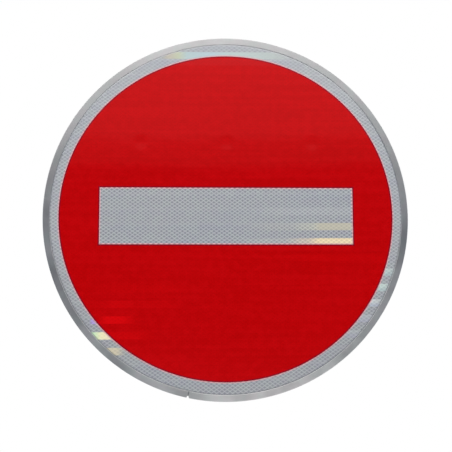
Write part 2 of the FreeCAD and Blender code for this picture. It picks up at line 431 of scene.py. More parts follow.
def cut_away(piece, cutter):
    """Takes the cutter out of the piece and removes the cutter."""
    make_active(piece)
    cut = piece.modifiers.new("cut", "BOOLEAN")
    cut.operation = "DIFFERENCE"
    cut.solver = "EXACT"
    cut.object = cutter
    bpy.ops.object.modifier_apply(modifier=cut.name)
    discard(cutter)


def copied(piece, name, move=(0, 0, 0), angle=0.0):
    """A copy with its own mesh, moved and turned about the sign's axis."""
    make_active(piece)
    bpy.ops.object.duplicate(linked=False)
    copy = bpy.context.object
    copy.name = name
    copy.data.name = name
    copy.location = move
    copy.rotation_euler = (0, angle, 0)
    bpy.ops.object.transform_apply(location=True, rotation=True)
    return copy


def joined(pieces):
    """The pieces as one, under the first one's name."""
    make_active(pieces[0])
    for piece in pieces[1:]:
        piece.select_set(True)
    bpy.ops.object.join()
    return bpy.context.object


def smooth(piece, degrees):
    """Smooth shading over small angles, with the large faces left flat."""
    make_active(piece)
    bpy.ops.object.shade_smooth_by_angle(angle=math.radians(degrees))
    weigh = piece.modifiers.new("weigh", "WEIGHTED_NORMAL")
    weigh.keep_sharp = True
    bpy.ops.object.modifier_apply(modifier=weigh.name)


def install(piece, finish, slot, *nodes):
    """Gives a piece its finish and lets it stand for its solids."""
    piece.data.materials.clear()
    piece.data.materials.append(finish)
    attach(piece, "root")
    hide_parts(*nodes)


# Shader nodes

class Wire:
    """A node's output, on which arithmetic adds math nodes."""

    def __init__(self, nodes, socket):
        self.nodes = nodes
        self.socket = socket

    def __add__(self, other):
        return self.nodes.math("ADD", self, other)

    def __sub__(self, other):
        return self.nodes.math("SUBTRACT", self, other)

    def __rsub__(self, other):
        return self.nodes.math("SUBTRACT", other, self)

    def __mul__(self, other):
        return self.nodes.math("MULTIPLY", self, other)

    def __truediv__(self, other):
        return self.nodes.math("DIVIDE", self, other)

    def __abs__(self):
        return self.nodes.math("ABSOLUTE", self)


class Nodes:
    """A node tree under construction, whose steps return wires."""

    def __init__(self, tree):
        self.tree = tree

    def feed(self, socket, value):
        """Links a wire or sets a plain value."""
        if isinstance(value, Wire):
            self.tree.links.new(value.socket, socket)
        else:
            socket.default_value = value

    def outputs(self, kind, inputs, **settings):
        """The outputs of a new node."""
        made = self.tree.nodes.new(kind)
        for key, value in settings.items():
            setattr(made, key, value)
        for key, value in inputs.items():
            self.feed(made.inputs[key], value)
        return made.outputs

    def wire(self, kind, inputs, output=0, **settings):
        """One output of a new node."""
        return Wire(self, self.outputs(kind, inputs, **settings)[output])

    def math(self, operation, *values):
        return self.wire("ShaderNodeMath", dict(enumerate(values)), operation=operation)

    def lesser(self, first, second):
        return self.math("MINIMUM", first, second)

    def greater(self, first, second):
        return self.math("MAXIMUM", first, second)

    def distance(self, first, second):
        """Distance from the origin of a point in a plane."""
        squares = self.math("POWER", first, 2.0) + self.math("POWER", second, 2.0)
        return self.math("SQRT", squares)

    def split(self, vector):
        """A vector as x, y and z."""
        return [Wire(self, part) for part in self.outputs("ShaderNodeSeparateXYZ", {0: vector})]

    def vector(self, x, y, z):
        return self.wire("ShaderNodeCombineXYZ", {0: x, 1: y, 2: z})

    def fade(self, value, start, end, low=0.0, high=1.0, kind="SMOOTHSTEP"):
        """Goes from low at start to high at end."""
        return self.wire("ShaderNodeMapRange", {
            "Value": value, "From Min": start, "From Max": end, "To Min": low, "To Max": high,
        }, interpolation_type=kind)

    def evenly(self, value, start, end):
        """Goes from 0 at start to 1 at end in a straight line."""
        return self.fade(value, start, end, kind="LINEAR")

    def within(self, value, low, high, soft_low, soft_high):
        """1 between two values and 0 outside them, with soft ends."""
        return (self.fade(value, low - soft_low, low + soft_low)
                * self.fade(value, high - soft_high, high + soft_high, 1.0, 0.0))

    def noise(self, point, scale, detail, roughness=0.5):
        return self.wire("ShaderNodeTexNoise", {
            "Vector": point, "Scale": scale, "Detail": detail, "Roughness": roughness,
        }, "Fac")

    def streaks(self, point, scale, detail, roughness):
        """Noise scaled along each axis."""
        stretched = self.wire("ShaderNodeMapping", {"Vector": point, "Scale": scale})
        return self.noise(stretched, 1.0, detail, roughness)

    def mix(self, factor, first, second, blend="MIX"):
        """A colour between two colours."""
        made = self.tree.nodes.new("ShaderNodeMix")
        made.data_type = "RGBA"
        made.blend_type = blend
        made.clamp_factor = True
        self.feed(made.inputs[0], factor)
        for index, value in ((6, first), (7, second)):
            self.feed(made.inputs[index], value if isinstance(value, Wire) else (*value, 1.0))
        return Wire(self, made.outputs[2])

    def ramp(self, value, stops):
        """A colour from stops of (position, colour)."""
        made = self.tree.nodes.new("ShaderNodeValToRGB")
        self.feed(made.inputs[0], value)
        elements = made.color_ramp.elements
        while len(elements) < len(stops):
            elements.new(0.5)
        for element, (position, tint) in zip(elements, stops):
            element.position = position
            element.color = (*tint, 1.0)
        return Wire(self, made.outputs[0])

    def bump(self, height, distance, strength, below=None):
        """A normal raised by a height, over the normal of another bump if there is one."""
        inputs = {"Height": height, "Distance": distance, "Strength": strength}
        if below is not None:
            inputs["Normal"] = below
        return self.wire("ShaderNodeBump", inputs)

    def light(self, kind, tint, strength):
        """A shader that gives off light."""
        return self.wire(kind, {"Color": tint, "Strength": strength})

    def blend(self, factor, first, second):
        """A shader between two shaders."""
        return self.wire("ShaderNodeMixShader", {0: factor, 1: first, 2: second})

    def rays(self):
        """Which rays come: those that the camera sees, also through glass, and reflections."""
        path = self.outputs("ShaderNodeLightPath", {})
        seen = self.greater(Wire(self, path["Is Camera Ray"]),
                            Wire(self, path["Is Transmission Ray"]))
        return seen, Wire(self, path["Is Glossy Ray"])

    def finish(self, name, shader):
        """Links the whole to the tree's output."""
        self.feed(self.tree.nodes[name].inputs[0], shader)


class Shading(Nodes):
    """A material under construction, with the object's own coordinates."""

    def __init__(self, name):
        self.material = bpy.data.materials.new(name)
        self.material.use_nodes = True
        super().__init__(self.material.node_tree)
        self.surface = self.tree.nodes["Principled BSDF"]
        self.point = self.wire("ShaderNodeTexCoord", {}, "Object")
        self.x, self.y, self.z = self.split(self.point)

    def set(self, **values):
        """Values and wires for the surface's own sockets."""
        for key, value in values.items():
            self.feed(self.surface.inputs[key.replace("_", " ")], value)


class BareMetal(Shading):
    """Aluminium with a faint uneven haze, before its working marks are added."""

    def __init__(self, name, tint, haze_scale):
        super().__init__(name)
        self.haze = self.noise(self.point, haze_scale, 4.0, 0.6)
        dull = [channel * 0.90 for channel in tint]
        clean = [min(1.0, channel * 1.06) for channel in tint]
        self.bare = self.mix(self.fade(self.haze, 0.35, 0.68), dull, clean)
        self.set(Metallic=1.0, Base_Color=self.bare)

    def rough(self, low, high):
        """Roughness that follows the haze."""
        return self.fade(self.haze, 0.3, 0.7, low, high)


def profile_finish(edge):
    """Extruded aluminium bent into a ring: fine lines run round it."""
    metal = BareMetal("profile_aluminium", edge.tint, 14.0)
    flat = metal.vector(metal.x, 0.0, metal.z)
    radius = metal.wire("ShaderNodeVectorMath", {0: flat}, "Value", operation="LENGTH")
    outwards = metal.wire("ShaderNodeVectorMath", {0: flat}, operation="NORMALIZE")
    section = metal.vector(radius, metal.y, 0.0)
    fine = metal.noise(section, 2600.0, 3.0, 0.7)
    broad = metal.noise(section, 420.0, 2.0)
    lines = fine * 0.4 + broad * 0.6
    # The lower part has painted shade in and beside the joint, and its left side dims towards the
    # joint
    aside = metal.x * math.cos(edge.joint_angle) - metal.z * math.sin(edge.joint_angle)
    low = metal.fade(metal.z, -0.1, -0.2)
    joint_shade = low * metal.fade(abs(aside), 0.4 * MM, 1.5 * MM, 0.55, 0.0)
    left = low * (metal.fade(aside, -60 * MM, -5 * MM, 0.0, 0.22)
                  * metal.fade(aside, 0.0, 0.4 * MM, 1.0, 0.0))
    hue = metal.fade(metal.noise(metal.point, 60.0, 1.0), 0.38, 0.62)
    cast = metal.mix(hue, (0.985, 1.0, 1.003), (1.006, 0.978, 1.0))
    tint = metal.mix(1.0, metal.bare, cast, "MULTIPLY")
    tint = metal.mix(left, tint, (0.30, 0.30, 0.30))
    tint = metal.mix(joint_shade, tint, (0.16, 0.17, 0.18))
    metal.set(Base_Color=tint, Roughness=metal.rough(0.30, 0.38) + lines * 0.06,
              Anisotropic=0.75, Tangent=outwards, Normal=metal.bump(lines, 0.004 * MM, 0.5))
    return metal.material


def plate_finish(rails):
    """Mill finished sheet: upright rolling lines, small scratches and a soft haze."""
    metal = BareMetal("plate_aluminium", rails.plate_tint, 6.0)
    rolling = metal.streaks(metal.point, (900.0, 900.0, 14.0), 4.0, 0.65)
    scratches = metal.fade(metal.streaks(metal.point, (60.0, 60.0, 900.0), 2.0, 0.5), 0.66, 0.74)
    waves = metal.bump(metal.noise(metal.point, 7.0, 1.0), 0.9 * MM, 0.35)
    metal.set(Roughness=metal.rough(0.30, 0.46) + rolling * 0.12,
              Normal=metal.bump(rolling - scratches * 0.5, 0.012 * MM, 0.6, waves))
    return metal.material


def rail_finish(rails):
    """Extruded aluminium with lines along the rail and saw marks on its cut ends."""
    metal = BareMetal("rail_aluminium", rails.tint, 11.0)
    lines = metal.streaks(metal.point, (6.0, 2200.0, 2200.0), 3.0, 0.7)
    end = metal.split(metal.wire("ShaderNodeTexCoord", {}, "Normal"))[0]
    cut = metal.fade(abs(end), 0.7, 0.9)
    saw = metal.streaks(metal.point, (150.0, 1800.0, 150.0), 2.0, 0.6)
    metal.set(Roughness=metal.rough(0.28, 0.42) + lines * 0.1,
              Normal=metal.bump(saw * cut + lines * (1.0 - cut), 0.03 * MM, 0.6))
    return metal.material


def rivet_finish(rivets):
    """Plain aluminium with the small dents of the rivet tool."""
    metal = BareMetal("rivet_aluminium", rivets.tint, 160.0)
    dents = metal.noise(metal.point, 700.0, 2.0)
    metal.set(Roughness=metal.rough(0.24, 0.4), Normal=metal.bump(dents, 0.05 * MM, 0.5))
    return metal.material


def strip_finish(rails):
    """Mill finished strip with lines along it."""
    metal = BareMetal("strip_aluminium", rails.plate_tint, 30.0)
    lines = metal.streaks(metal.point, (12.0, 1500.0, 1500.0), 3.0, 0.6)
    metal.set(Roughness=metal.rough(0.3, 0.44) + lines * 0.1,
              Normal=metal.bump(lines, 0.02 * MM, 0.5))
    return metal.material


class PrismSheet(Shading):
    """The parts of a prismatic sheet's look that the white and the red finish share."""

    def __init__(self, name, face):
        super().__init__(name)
        self.face = face
        # The patches' ends wander a little from side to side
        self.drift = self.math("MULTIPLY_ADD", self.noise(self.point, 16.0, 2.0), 0.02,
                               self.x - 0.01)
        self.cells()
        self.bands()
        self.outline()

    def cells(self):
        """The diamond cells: their lines, where two lines cross, and their dark middles."""
        face = self.face
        across = (self.x - face.cell_x) / face.cell_width
        up = (self.z - face.cell_z) / face.cell_height
        rising = self.math("PINGPONG", across + up, 0.5)
        falling = self.math("PINGPONG", across - up, 0.5)
        first, second = [self.fade(line, 0.05, 0.17, 1.0, 0.0) for line in (rising, falling)]
        self.lines = self.greater(first, second)
        self.crossings = first * second
        self.dots = self.fade(self.lesser(rising, falling), 0.20, 0.44)

    def bands(self):
        """The level prism bands: a glinting one with a brighter crest, then a plain one."""
        face = self.face
        self.level = self.math("MULTIPLY_ADD", self.x, -face.band_tilt, self.z)
        self.height = self.math("FRACT", (self.level - face.band_edge) / face.band_pitch)
        top = self.fade(self.height, face.band_share - 0.03, face.band_share, 1.0, 0.0)
        self.in_band = self.fade(self.height, 0.0, 0.03) * top
        self.crest = top * self.fade(self.height, face.band_share - 0.14,
                                     face.band_share - 0.06)

    def outline(self):
        """Distance in from the red's edge: above 0 in the red and below 0 outside it."""
        face = self.face
        out = self.distance(self.x / (face.red_width / 2), self.z / (face.red_height / 2))
        from_circle = (1.0 - out) * (face.red_width / 2)
        beside = abs(self.x) - face.bar_width / 2
        over = abs(self.z) - face.bar_height / 2
        self.inside_red = self.lesser(from_circle, self.greater(beside, over))

    def patch(self, left, right, low, high, fade_in=0.02, fade_out=0.02):
        """Mask of a level patch with soft ends, in metres."""
        soft = 0.6 * MM
        return (self.within(self.drift, left, right, fade_in, fade_out)
                * self.within(self.level, low, high, soft, soft))

    def band_patch(self, index, left, right, fade_in=0.02, fade_out=0.02):
        """Mask of a patch inside one glinting band, counted up from the first."""
        low = self.face.band_edge + index * self.face.band_pitch
        high = low + self.face.band_share * self.face.band_pitch
        return self.patch(left, right, low, high, fade_in, fade_out)

    def paint(self, tint, glints):
        """The tint with the glints over it, and how much they hide the cells."""
        total = 0.0
        for mask, strength, glint, *cover in glints:
            amount = mask * strength
            tint = self.mix(amount, tint, glint)
            total = self.greater(total, amount * (cover[0] if cover else 0.65))
        return tint, total

    def draw_cells(self, tint, clear, dot, line, crossing):
        """The tint times the gains of the cells' middles, lines and crossings."""
        shade = self.mix(self.dots * clear, (1.0, 1.0, 1.0), dot)
        shade = self.mix(self.lines * clear, shade, line)
        shade = self.mix(self.crossings * clear, shade, crossing)
        return self.mix(1.0, tint, shade, "MULTIPLY")


def white_finish(face):
    """Silvery prismatic sheet: bright lines round dark hearted cells, with glints by band."""
    sheet = PrismSheet("white_sheeting", face)
    cloud = sheet.noise(sheet.point, 7.0, 3.0, 0.6)
    grain = sheet.noise(sheet.point, 150.0, 1.0)
    radius = sheet.distance(sheet.x, sheet.z)
    tint = sheet.mix(sheet.fade(cloud, 0.35, 0.7), face.white, face.white_shade)
    # Painted highlight along the crest of each glinting band
    tint = sheet.mix(sheet.crest * 0.24, tint, (0.70, 0.72, 0.72))
    cool = sheet.in_band * sheet.fade(cloud, 0.35, 0.65, 0.02, 0.12)
    tint = sheet.mix(cool, tint, (0.24, 0.27, 0.40))
    tint = sheet.mix(sheet.fade(grain, 0.35, 0.65, 0.0, 0.30), tint, (0.40, 0.44, 0.43))
    tint = sheet.mix(sheet.fade(grain, 0.58, 0.42, 0.0, 0.22), tint, (0.36, 0.34, 0.40))
    # Painted light: the border is paler towards the top
    border_top_light = sheet.fade(radius, 0.240, 0.262) * sheet.fade(sheet.z, -0.22, -0.02, 0.0, 0.11)
    tint = sheet.mix(border_top_light, tint, (0.70, 0.73, 0.77))
    tint, glint = sheet.paint(tint, white_glints(sheet))
    # Red light spills over the red's edge
    bleed = sheet.fade(sheet.inside_red, -2.6 * MM, -1.0 * MM, 0.0, 0.85)
    tint = sheet.mix(bleed, tint, (0.74, 0.40, 0.43))
    # The cells are weaker at the top, in the border, on a crest and under a glint
    upper = sheet.fade(sheet.z, 0.10, 0.27, 1.0, 0.45)
    beside = sheet.fade(radius, 0.235, 0.262, 1.0, 0.66)
    plain = (1.0 - glint) * sheet.math("MULTIPLY_ADD", sheet.crest, -0.4, 1.0)
    clear = sheet.lesser(upper, beside) * plain
    tint = sheet.draw_cells(tint, clear, face.dot, face.line, face.crossing)
    # Painted shade along the lip below, and a painted highlight along it above
    lip_shade = (sheet.fade(sheet.z, 0.05, -0.15)
            * sheet.fade(radius, 286.8 * MM, 288.4 * MM, 0.0, 0.55))
    tint = sheet.mix(lip_shade, tint, (0.15, 0.16, 0.18))
    lip_highlight = (sheet.fade(sheet.z, 0.12, 0.24)
             * sheet.fade(radius, 286.6 * MM, 288.6 * MM, 0.0, 0.55))
    tint = sheet.mix(lip_highlight, tint, (0.92, 0.93, 0.96))
    raised = sheet.lines * clear
    seams = sheet.bump(raised, 0.02 * MM, 0.35)
    waves = sheet.noise(sheet.point, 5.0, 2.0)
    sheet.set(Base_Color=tint, Roughness=sheet.fade(raised, 0.0, 1.0, 0.22, 0.30), IOR=1.58,
              Specular_IOR_Level=0.9, Normal=sheet.bump(waves, 0.6 * MM, 0.3, seams))
    return sheet.material


def white_glints(sheet):
    """Masks, strengths and colours of the glints in the white sheet, in the order painted."""
    rainbow = sheet.ramp(sheet.evenly(sheet.x, -0.108, 0.092), [
        (0.0, (0.46, 0.43, 0.36)), (0.07, (0.54, 0.50, 0.40)), (0.14, (0.55, 0.60, 0.42)),
        (0.21, (0.46, 0.60, 0.62)), (0.42, (0.46, 0.585, 0.65)), (0.60, (0.50, 0.61, 0.60)),
        (1.0, (0.48, 0.53, 0.515)),
    ])
    lower_left = sheet.ramp(sheet.evenly(sheet.x, -0.226, -0.186), [
        (0.0, (0.46, 0.82, 0.54)), (0.3, (0.66, 0.92, 0.60)), (0.6, (1.0, 0.94, 0.58)),
        (1.0, (1.0, 0.86, 0.60)),
    ])
    top = 264.6 * MM
    spot = -174.8 * MM
    rising = sheet.fade(sheet.height, 0.05, 0.35)
    aqua = sheet.mix(rising, (0.50, 0.64, 0.64), (0.68, 0.84, 0.78))
    pale = sheet.mix(rising, (0.50, 0.56, 0.68), (0.74, 0.80, 0.80))
    violet = sheet.mix(rising, (0.50, 0.50, 0.66), (0.58, 0.62, 0.68))
    return [
        (sheet.band_patch(0, 0.050, 0.240, 0.050), 0.22, (0.56, 0.56, 0.49)),
        (sheet.band_patch(0, 0.118, 0.240, 0.016), 0.35, (0.58, 0.60, 0.48)),
        (sheet.band_patch(0, 0.146, 0.240, 0.010), 0.85, (0.56, 0.53, 0.43)),
        (sheet.band_patch(-1, 0.035, 0.240, 0.040), 0.35, (0.52, 0.54, 0.50)),
        (sheet.band_patch(-1, 0.112, 0.240, 0.020), 0.60, (0.72, 0.60, 0.47)),
        (sheet.band_patch(-1, 0.142, 0.240, 0.012), 0.88, (0.92, 0.76, 0.48)),
        (sheet.band_patch(1, 0.060, 0.240, 0.050), 0.32, (0.50, 0.52, 0.53)),
        (sheet.patch(-0.104, 0.100, top, top + 11.8 * MM, 0.010, 0.024), 0.92, rainbow, 0.95),
        (sheet.band_patch(-7, -0.250, -0.172, 0.003, 0.006), 0.94, lower_left, 0.85),
        (sheet.band_patch(-8, -0.205, -0.172, 0.005, 0.010), 0.74, (0.76, 0.67, 0.46), 0.75),
        (sheet.patch(-0.2165, -0.200, spot, spot + 8.0 * MM, 0.003), 0.72, (0.50, 0.34, 0.88)),
        (sheet.band_patch(-3, 0.252, 0.274, 0.006, 0.012), 0.62, aqua),
        (sheet.band_patch(-4, 0.242, 0.264, 0.006, 0.012), 0.70, aqua),
        (sheet.band_patch(-5, 0.228, 0.250, 0.006, 0.012), 0.65, pale),
        (sheet.band_patch(-6, 0.211, 0.250, 0.006), 0.40, violet),
        (sheet.band_patch(-7, 0.190, 0.225, 0.010), 0.25, violet),
    ]


def red_finish(face):
    """Deep clear red over the prismatic sheet, whose cells and bands show through faintly."""
    sheet = PrismSheet("red_overlay", face)
    cloud = sheet.noise(sheet.point, 5.0, 3.0, 0.55)
    tint = sheet.mix(sheet.fade(cloud, 0.3, 0.7), face.red, face.red_shade)
    tint = sheet.mix(sheet.in_band * 0.05, tint, (0.46, 0.0004, 0.0012))
    # Level streaks and small blotches, darker and brighter than the rest
    streak = sheet.streaks(sheet.point, (3.5, 3.5, 130.0), 2.0, 0.6)
    blotch = sheet.noise(sheet.point, 85.0, 3.0, 0.7)
    uneven = sheet.math("MULTIPLY_ADD", blotch, 0.55, streak * 0.45)
    tint = sheet.mix(sheet.fade(uneven, 0.38, 0.54, 0.32, 0.0), tint, (0.47, 0.0002, 0.0006))
    tint = sheet.mix(sheet.fade(uneven, 0.46, 0.62, 0.0, 0.32), tint, (0.66, 0.0030, 0.0052))
    tint = sheet.paint(tint, red_glints(sheet))[0]
    shade = sheet.mix(sheet.dots, (1.0, 1.0, 1.0), (0.95, 0.95, 0.95))
    shade = sheet.mix(sheet.lines, shade, (1.035, 1.035, 1.035))
    tint = sheet.mix(1.0, tint, shade, "MULTIPLY")
    # Painted shade: the red is darker just inside its edge
    edge = sheet.fade(sheet.inside_red, 0.9 * MM, 3.2 * MM, 0.85, 0.0)
    tint = sheet.mix(edge, tint, (0.20, 0.004, 0.020))
    seams = sheet.bump(sheet.lines, 0.01 * MM, 0.10)
    stretched = sheet.wire("ShaderNodeMapping", {"Vector": sheet.point, "Scale": (1.0, 1.0, 2.2)})
    waves = sheet.noise(stretched, 6.0, 2.0)
    sheet.set(Base_Color=tint, Roughness=0.04, IOR=1.58, Specular_IOR_Level=1.0,
              Specular_Tint=(1.0, 0.115, 0.12, 1.0),
              Normal=sheet.bump(waves, 0.4 * MM, 0.35, seams))
    return sheet.material


def red_glints(sheet):
    """Masks, strengths and colours of the brighter and darker bands in the red."""
    bright = (0.82, 0.003, 0.005)
    dark = (0.44, 0.0004, 0.0012)
    mirrored = (0.56, 0.014, 0.018)
    top = 253.5 * MM
    return [
        (sheet.patch(-0.130, 0.110, top, top + 11.0 * MM, 0.030, 0.030), 0.30, mirrored),
        (sheet.patch(0.080, 0.262, -64.0 * MM, -58.0 * MM, 0.050), 0.20, dark),
        (sheet.patch(0.120, 0.262, -48.0 * MM, -42.0 * MM, 0.050), 0.12, dark),
        (sheet.patch(-0.262, -0.080, -84.0 * MM, -77.0 * MM, 0.02, 0.060), 0.14, dark),
        (sheet.band_patch(-2, 0.090, 0.262, 0.045), 0.16, bright),
        (sheet.band_patch(-4, -0.215, -0.060, 0.040, 0.040), 0.12, bright),
        (sheet.band_patch(-5, -0.215, -0.090, 0.040, 0.040), 0.16, bright),
        (sheet.band_patch(-5, -0.190, -0.165, 0.012, 0.014), 0.20, bright),
        (sheet.band_patch(-6, -0.200, -0.160, 0.010, 0.016), 0.72, bright),
        (sheet.band_patch(-7, -0.208, -0.135, 0.015, 0.030), 0.32, bright),
    ]


# Operators

def settings(context):
    """The sign's settings."""
    return context.scene.no_entry_sign


class SIGN_OT_edge_profile(bpy.types.Operator):
    """Bends the edge profile into a ring with its butt joint, notch and rivet holes"""

    bl_idname = "sign.edge_profile"
    bl_label = "Edge profile"

    def section(self, edge, front, back):
        """Section of the profile beside the axis: its outer wall with lip, rib and flange."""
        outer = edge.outer_radius
        inner = outer - edge.wall
        clear_selection()
        bpy.ops.mesh.primitive_plane_add(
            size=1, location=((inner + outer) / 2, (front + back) / 2, 0))
        piece = new_piece("edge_ring", (edge.wall, back - front, 1))
        lip_back = front + edge.lip_thickness
        rib_front = PLATE_HIGH.y
        rib_back = rib_front + edge.rib_thickness
        flange_front = back - edge.flange_thickness
        start_edit(piece)
        for depth in (lip_back, rib_front, rib_back, flange_front):
            split_at((0, depth, 0), tuple(BACK))
        strips = ((front, lip_back, edge.lip_width),
                  (rib_front, rib_back, edge.rib_width),
                  (flange_front, back, edge.flange_width - edge.return_thickness))
        for low, high, width in strips:
            pick(piece, "EDGE", lambda item: (
                all(abs(corner.co.x - inner) < NEAR for corner in item.verts)
                and low < middle(item).y < high))
            draw_out((edge.wall - width, 0, 0))
        draw_out((-edge.return_thickness, 0, 0))
        turned_edge = outer - edge.flange_width + edge.return_thickness / 2
        pick(piece, "EDGE", lambda item: (abs(middle(item).x - turned_edge) < NEAR
                                          and abs(middle(item).y - flange_front) < NEAR))
        draw_out((0, edge.flange_thickness - edge.return_height, 0))
        return piece

    def rounded(self, piece, edge, front, back):
        """Rounds the outline's corners and leaves it as a closed line."""
        outer = edge.outer_radius
        lip = outer - edge.lip_width
        rib = outer - edge.rib_width
        flange = outer - edge.flange_width
        merge_doubles()
        bpy.ops.mesh.dissolve_faces()
        bpy.ops.mesh.select_all(action="SELECT")
        bpy.ops.mesh.dissolve_limited(angle_limit=math.radians(1))
        # Size, segments and places of each kind of corner
        corners = (
            (edge.front_round, 5, [(outer, front)]),
            (edge.lip_round, 4, [(lip, front)]),
            (edge.edge_round, 3, [(outer, back), (flange, back)]),
            (edge.edge_round / 2, 2, [
                (lip, front + edge.lip_thickness),
                (rib, PLATE_HIGH.y),
                (rib, PLATE_HIGH.y + edge.rib_thickness),
                (flange, back - edge.return_height),
                (flange + edge.return_thickness, back - edge.return_height),
            ]),
        )
        for size, segments, places in corners:
            pick(piece, "VERT", lambda item: any(
                abs(item.co.x - x) < NEAR and abs(item.co.y - y) < NEAR for x, y in places))
            bpy.ops.mesh.bevel(offset=size, segments=segments, affect="VERTICES")
        pick_all("FACE")
        bpy.ops.mesh.delete(type="ONLY_FACE")

    def notch(self, edge, front, back):
        """Cutter of the joint's notch beside the axis, wider towards the outer wall."""
        floor = edge.outer_radius - edge.notch_depth
        notch = block("notch", (floor, front - RING_PAST, -edge.notch_floor / 2),
                      (edge.outer_radius + RING_PAST, back + RING_PAST, edge.notch_floor / 2))
        flare = (edge.notch_width - edge.notch_floor) / edge.notch_depth
        mouth = edge.notch_floor + flare * (edge.notch_depth + RING_PAST)
        start_edit(notch)
        pick(notch, "VERT", lambda item: item.co.x > floor + NEAR)
        bpy.ops.transform.resize(value=(1, 1, mouth / edge.notch_floor),
                                 center_override=(floor, 0, 0))
        end_edit()
        return notch

    def execute(self, context):
        edge = settings(context).edge
        rivets = settings(context).rivets
        front, back = EDGE_LOW.y, EDGE_HIGH.y
        ring = self.section(edge, front, back)
        self.rounded(ring, edge, front, back)
        pick_all("EDGE")
        bpy.ops.mesh.spin(steps=edge.steps, angle=2 * math.pi, center=(0, 0, 0),
                          axis=tuple(BACK), use_auto_merge=True)
        mend_surface()
        end_edit()
        joint = math.pi / 2 + edge.joint_angle
        inner = edge.outer_radius - edge.flange_width - RING_PAST
        gap = block("gap", (inner, front - RING_PAST, -edge.joint_gap / 2),
                    (edge.outer_radius + RING_PAST, back + RING_PAST, edge.joint_gap / 2))
        cut_away(ring, turned(gap, joint))
        cut_away(ring, turned(self.notch(edge, front, back), joint))
        flange_front = back - edge.flange_thickness
        for angle in BLIND_ANGLES:
            hole = rod("hole", rivets.blind_radius + RIVET_ROOM, flange_front - RING_PAST,
                       back + RING_PAST, rivets.corners, rivets.blind_circle)
            cut_away(ring, turned(hole, joint + math.radians(angle)))
        smooth(ring, degrees=32)
        install(ring, profile_finish(edge), "profile_aluminium", "edge_profile")
        return {"FINISHED"}


class SIGN_OT_white_sheet(bpy.types.Operator):
    """Lays the round white prismatic sheet"""

    bl_idname = "sign.white_sheet"
    bl_label = "White sheet"

    def execute(self, context):
        face = settings(context).face
        # A narrow rim, to which the sheet falls back a little from further in
        rim_width = 0.15 * MM
        slope_width = 20 * MM
        fall = 0.1 * MM
        sheet = rod("white_sheet", face.sheet_radius, SHEET_LOW.y, SHEET_HIGH.y, face.steps)
        start_edit(sheet)
        pick_face(sheet, FRONT, SHEET_LOW.y)
        bpy.ops.mesh.inset(thickness=rim_width)
        bpy.ops.mesh.inset(thickness=slope_width)
        inside = face.sheet_radius - 2 * rim_width
        pick(sheet, "EDGE", lambda item: (abs(middle(item).y - SHEET_LOW.y) < NEAR
                                          and middle(item).length > inside))
        bpy.ops.transform.translate(value=(0, fall, 0))
        end_edit()
        smooth(sheet, degrees=30)
        install(sheet, white_finish(face), "white_sheeting", "white_film")
        return {"FINISHED"}


class SIGN_OT_red_field(bpy.types.Operator):
    """Lays the red overlay with the open bar and the dimples over the rivets"""

    bl_idname = "sign.red_field"
    bl_label = "Red field"

    def rings(self, face):
        """Insets the face into rings, with close ones where the dimples come."""
        edge, centre = 2 * MM, 50 * MM
        reach = math.hypot(RIVET_PITCH, RAIL_HEIGHT) + face.dimple_radius
        close = int((reach - RAIL_HEIGHT + face.dimple_radius) / face.ring_step)
        widths = [edge, face.red_height / 2 - reach - edge] + [face.ring_step] * close + [centre]
        for width in widths:
            bpy.ops.mesh.inset(thickness=width)

    def dimple(self, field, face, x, z):
        """Presses the face in round the corner nearest to a rivet."""
        nearest = min(bmesh.from_edit_mesh(field.data).verts,
                      key=lambda item: math.hypot(item.co.x - x, item.co.z - z)).co.copy()
        pick(field, "VERT", lambda item: (item.co - nearest).length < NEAR)
        bpy.ops.transform.translate(value=(0, face.dimple_depth, 0),
                                    use_proportional_edit=True,
                                    proportional_edit_falloff="SMOOTH",
                                    proportional_size=face.dimple_radius)

    def execute(self, context):
        face = settings(context).face
        field = disc("red_field", 0.5, face.steps, (0, RED_LOW.y, 0), (math.pi / 2, 0, 0),
                     (face.red_width, face.red_height, 1))
        start_edit(field)
        self.rings(face)
        for z in (RAIL_HEIGHT, RAIL_HEIGHT - RAIL_DROP):
            for x in RIVET_ROW:
                self.dimple(field, face, x, z)
        pick_all("EDGE")
        bpy.ops.mesh.region_to_loop()
        draw_out((0, RED_HIGH.y - RED_LOW.y, 0))
        bpy.ops.mesh.edge_face_add()
        mend_surface()
        end_edit()
        bar = block("bar", (-face.bar_width / 2, RED_LOW.y - PAST, -face.bar_height / 2),
                    (face.bar_width / 2, RED_HIGH.y + PAST, face.bar_height / 2))
        cut_away(field, bar)
        smooth(field, degrees=30)
        install(field, red_finish(face), "red_overlay", "red_film")
        return {"FINISHED"}


